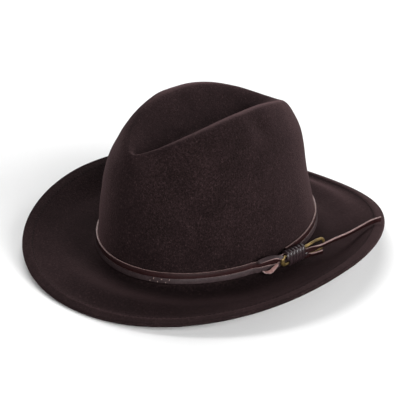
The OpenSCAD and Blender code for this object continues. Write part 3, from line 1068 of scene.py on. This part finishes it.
def sweatband_stitches():
    loop = beside_crown(-SWEAT_OFF - SWEAT_T, SWEAT_STITCH_Z, AROUND)
    points, along = even_points(loop, SWEAT_STITCH_PITCH)
    parts = []
    for p, d in zip(points, along):
        out = -unit(p * [1, 1, 0])
        stitch = thread_stitch(p, d, out, SWEAT_STITCH_L, SWEAT_THREAD_D)
        parts.append((seated(stitch), False, plain))
    return parts


add_piece(
    "sweatband_stitches",
    "hat",
    ["sweatband_stitching"],
    sweatband_stitches(),
    [PALE_THREAD],
)

BOW_Z = 8.0
BOW_HALF_L = 9.5
RIBBON_HALF_W = 3.4
RIBBON_HALF_T = 0.14


def bow():
    """A small ribbon bow: two flattened loops and a band round the middle."""
    back_y = beside_crown(-SWEAT_OFF - SWEAT_T, BOW_Z, math.pi / 2)[1]
    h, t = RIBBON_HALF_W, RIBBON_HALF_T
    profile = [(t, -h), (t, h), (-t, h), (-t, -h)]
    q = np.linspace(0, 2 * math.pi, 25)
    reach = (BOW_HALF_L - 0.3) / 2 * (1 - np.cos(q))
    depth = 0.9 + 0.75 * np.sin(q) * (1 - 0.2 * np.cos(q))
    width = 0.45 + 0.55 * smoothstep(reach / 5)
    wides = np.tile(UPRIGHT, (len(q), 1))
    parts = []
    for side in (1, -1):
        path = np.stack([side * (0.3 + reach), back_y - depth, np.full(len(q), BOW_Z)], -1)
        parts.append((sweep(path, wides, profile, width), False, plain))
    knot = []
    for z in np.linspace(-1.7, 1.7, 7):
        bulge = 1 + 0.15 * math.cos(z)
        knot.append([
            (1.5 * bulge * math.cos(q), back_y - 1 + 0.95 * bulge * math.sin(q), BOW_Z + z)
            for q in np.arange(12) * math.pi / 6
        ])
    parts.append((seated(knot), False, plain))
    return parts


add_piece("ribbon_bow", "hat", ["sweatband_bow"], bow(), [RIBBON])

# ---- floor, light and camera ---------------------------------------------------------------

# Distances are in metres here, and the lens is in millimetres.
FLOOR_REACH = 6.0
LIGHTS_AWAY = 3.4
LIGHTS_AIM_Z = 0.04
CAMERA_AWAY = 1.5
LENS = 152.3
# The camera's aim, seen in the picture from the middle of the band's lower edge.
AIM_LEFT = 0.0067
AIM_UP = 0.0233
WORLD_STRENGTH = 0.05

VIEW_AZ = math.radians(40)
VIEW_EL = math.radians(27.2)
NEARER = Vector((math.sin(VIEW_AZ), -math.cos(VIEW_AZ), 0))
RIGHT = Vector((math.cos(VIEW_AZ), math.sin(VIEW_AZ), 0))
BACK = NEARER * math.cos(VIEW_EL) + Vector((0, 0, math.sin(VIEW_EL)))
UP = BACK.cross(RIGHT)

# Square soft lights: bearing, height angle, size and power. Bearing 0 is behind the camera and 90
# is to its right.
SOFT_LIGHTS = {
    "near_fill": (5, 14, 1.8, 80),
    "key": (50, 24, 1.8, 132),
    "side": (125, 20, 1.6, 36),
    "back": (185, 45, 2.2, 84),
    "far_side": (228, 45, 2.2, 42),
}


def placed(name, data, place, aim):
    """A new light or camera at the place, turned towards the aim."""
    made = bpy.data.objects.new(name, data)
    made.location = place
    made.rotation_mode = "QUATERNION"
    made.rotation_quaternion = (aim - place).to_track_quat("-Z", "Y")
    bpy.context.scene.collection.objects.link(made)
    return made


def floor():
    """A pale floor, lit like a studio backdrop far away from the hat."""
    m = Nodes("pale_floor")
    tone = m.noise(400, 2, 0.5)
    far = m.math("MULTIPLY", m.length((MM, MM, 0)), 1 / FLOOR_REACH)
    m.set(
        Base_Color=m.ramp(tone, (0.3, 0.83), (0.7, 0.86)),
        Roughness=0.9,
        Emission_Strength=m.ramp(far, (0.2, 0.0), (0.45, 0.9)),
    )
    mesh = bpy.data.meshes.new("floor")
    r = FLOOR_REACH
    mesh.from_pydata([(-r, -r, 0), (r, -r, 0), (r, r, 0), (-r, r, 0)], [], [(0, 1, 2, 3)])
    mesh.materials.append(m.material)
    made = bpy.data.objects.new("floor", mesh)
    bpy.context.scene.collection.objects.link(made)


def lights():
    aim = Vector((0, 0, LIGHTS_AIM_Z))
    for name, (bearing, height, size, power) in SOFT_LIGHTS.items():
        a, e = math.radians(bearing), math.radians(height)
        level = NEARER * math.cos(a) + RIGHT * math.sin(a)
        data = bpy.data.lights.new(name, "AREA")
        data.size = size
        data.energy = power
        towards = level * math.cos(e) + Vector((0, 0, math.sin(e)))
        placed(name, data, aim + towards * LIGHTS_AWAY, aim)
    world = bpy.data.worlds.new("studio")
    world.use_nodes = True
    background = world.node_tree.nodes["Background"]
    background.inputs["Color"].default_value = (1, 1, 1, 1)
    background.inputs["Strength"].default_value = WORLD_STRENGTH
    bpy.context.scene.world = world


def camera():
    """The photograph's viewpoint: 1.5 m away, to the left of the hat's front."""
    data = bpy.data.cameras.new("camera")
    data.sensor_width = 36
    data.lens = LENS
    data.clip_start, data.clip_end = 0.1, 30
    band = Vector((0, MIDDLE_Y, BASE_H)) * MM
    aim = band - RIGHT * AIM_LEFT + UP * AIM_UP
    bpy.context.scene.camera = placed("camera", data, band + BACK * CAMERA_AWAY, aim)


floor()
lights()
camera()
bpy.context.scene.view_settings.view_transform = "Standard"
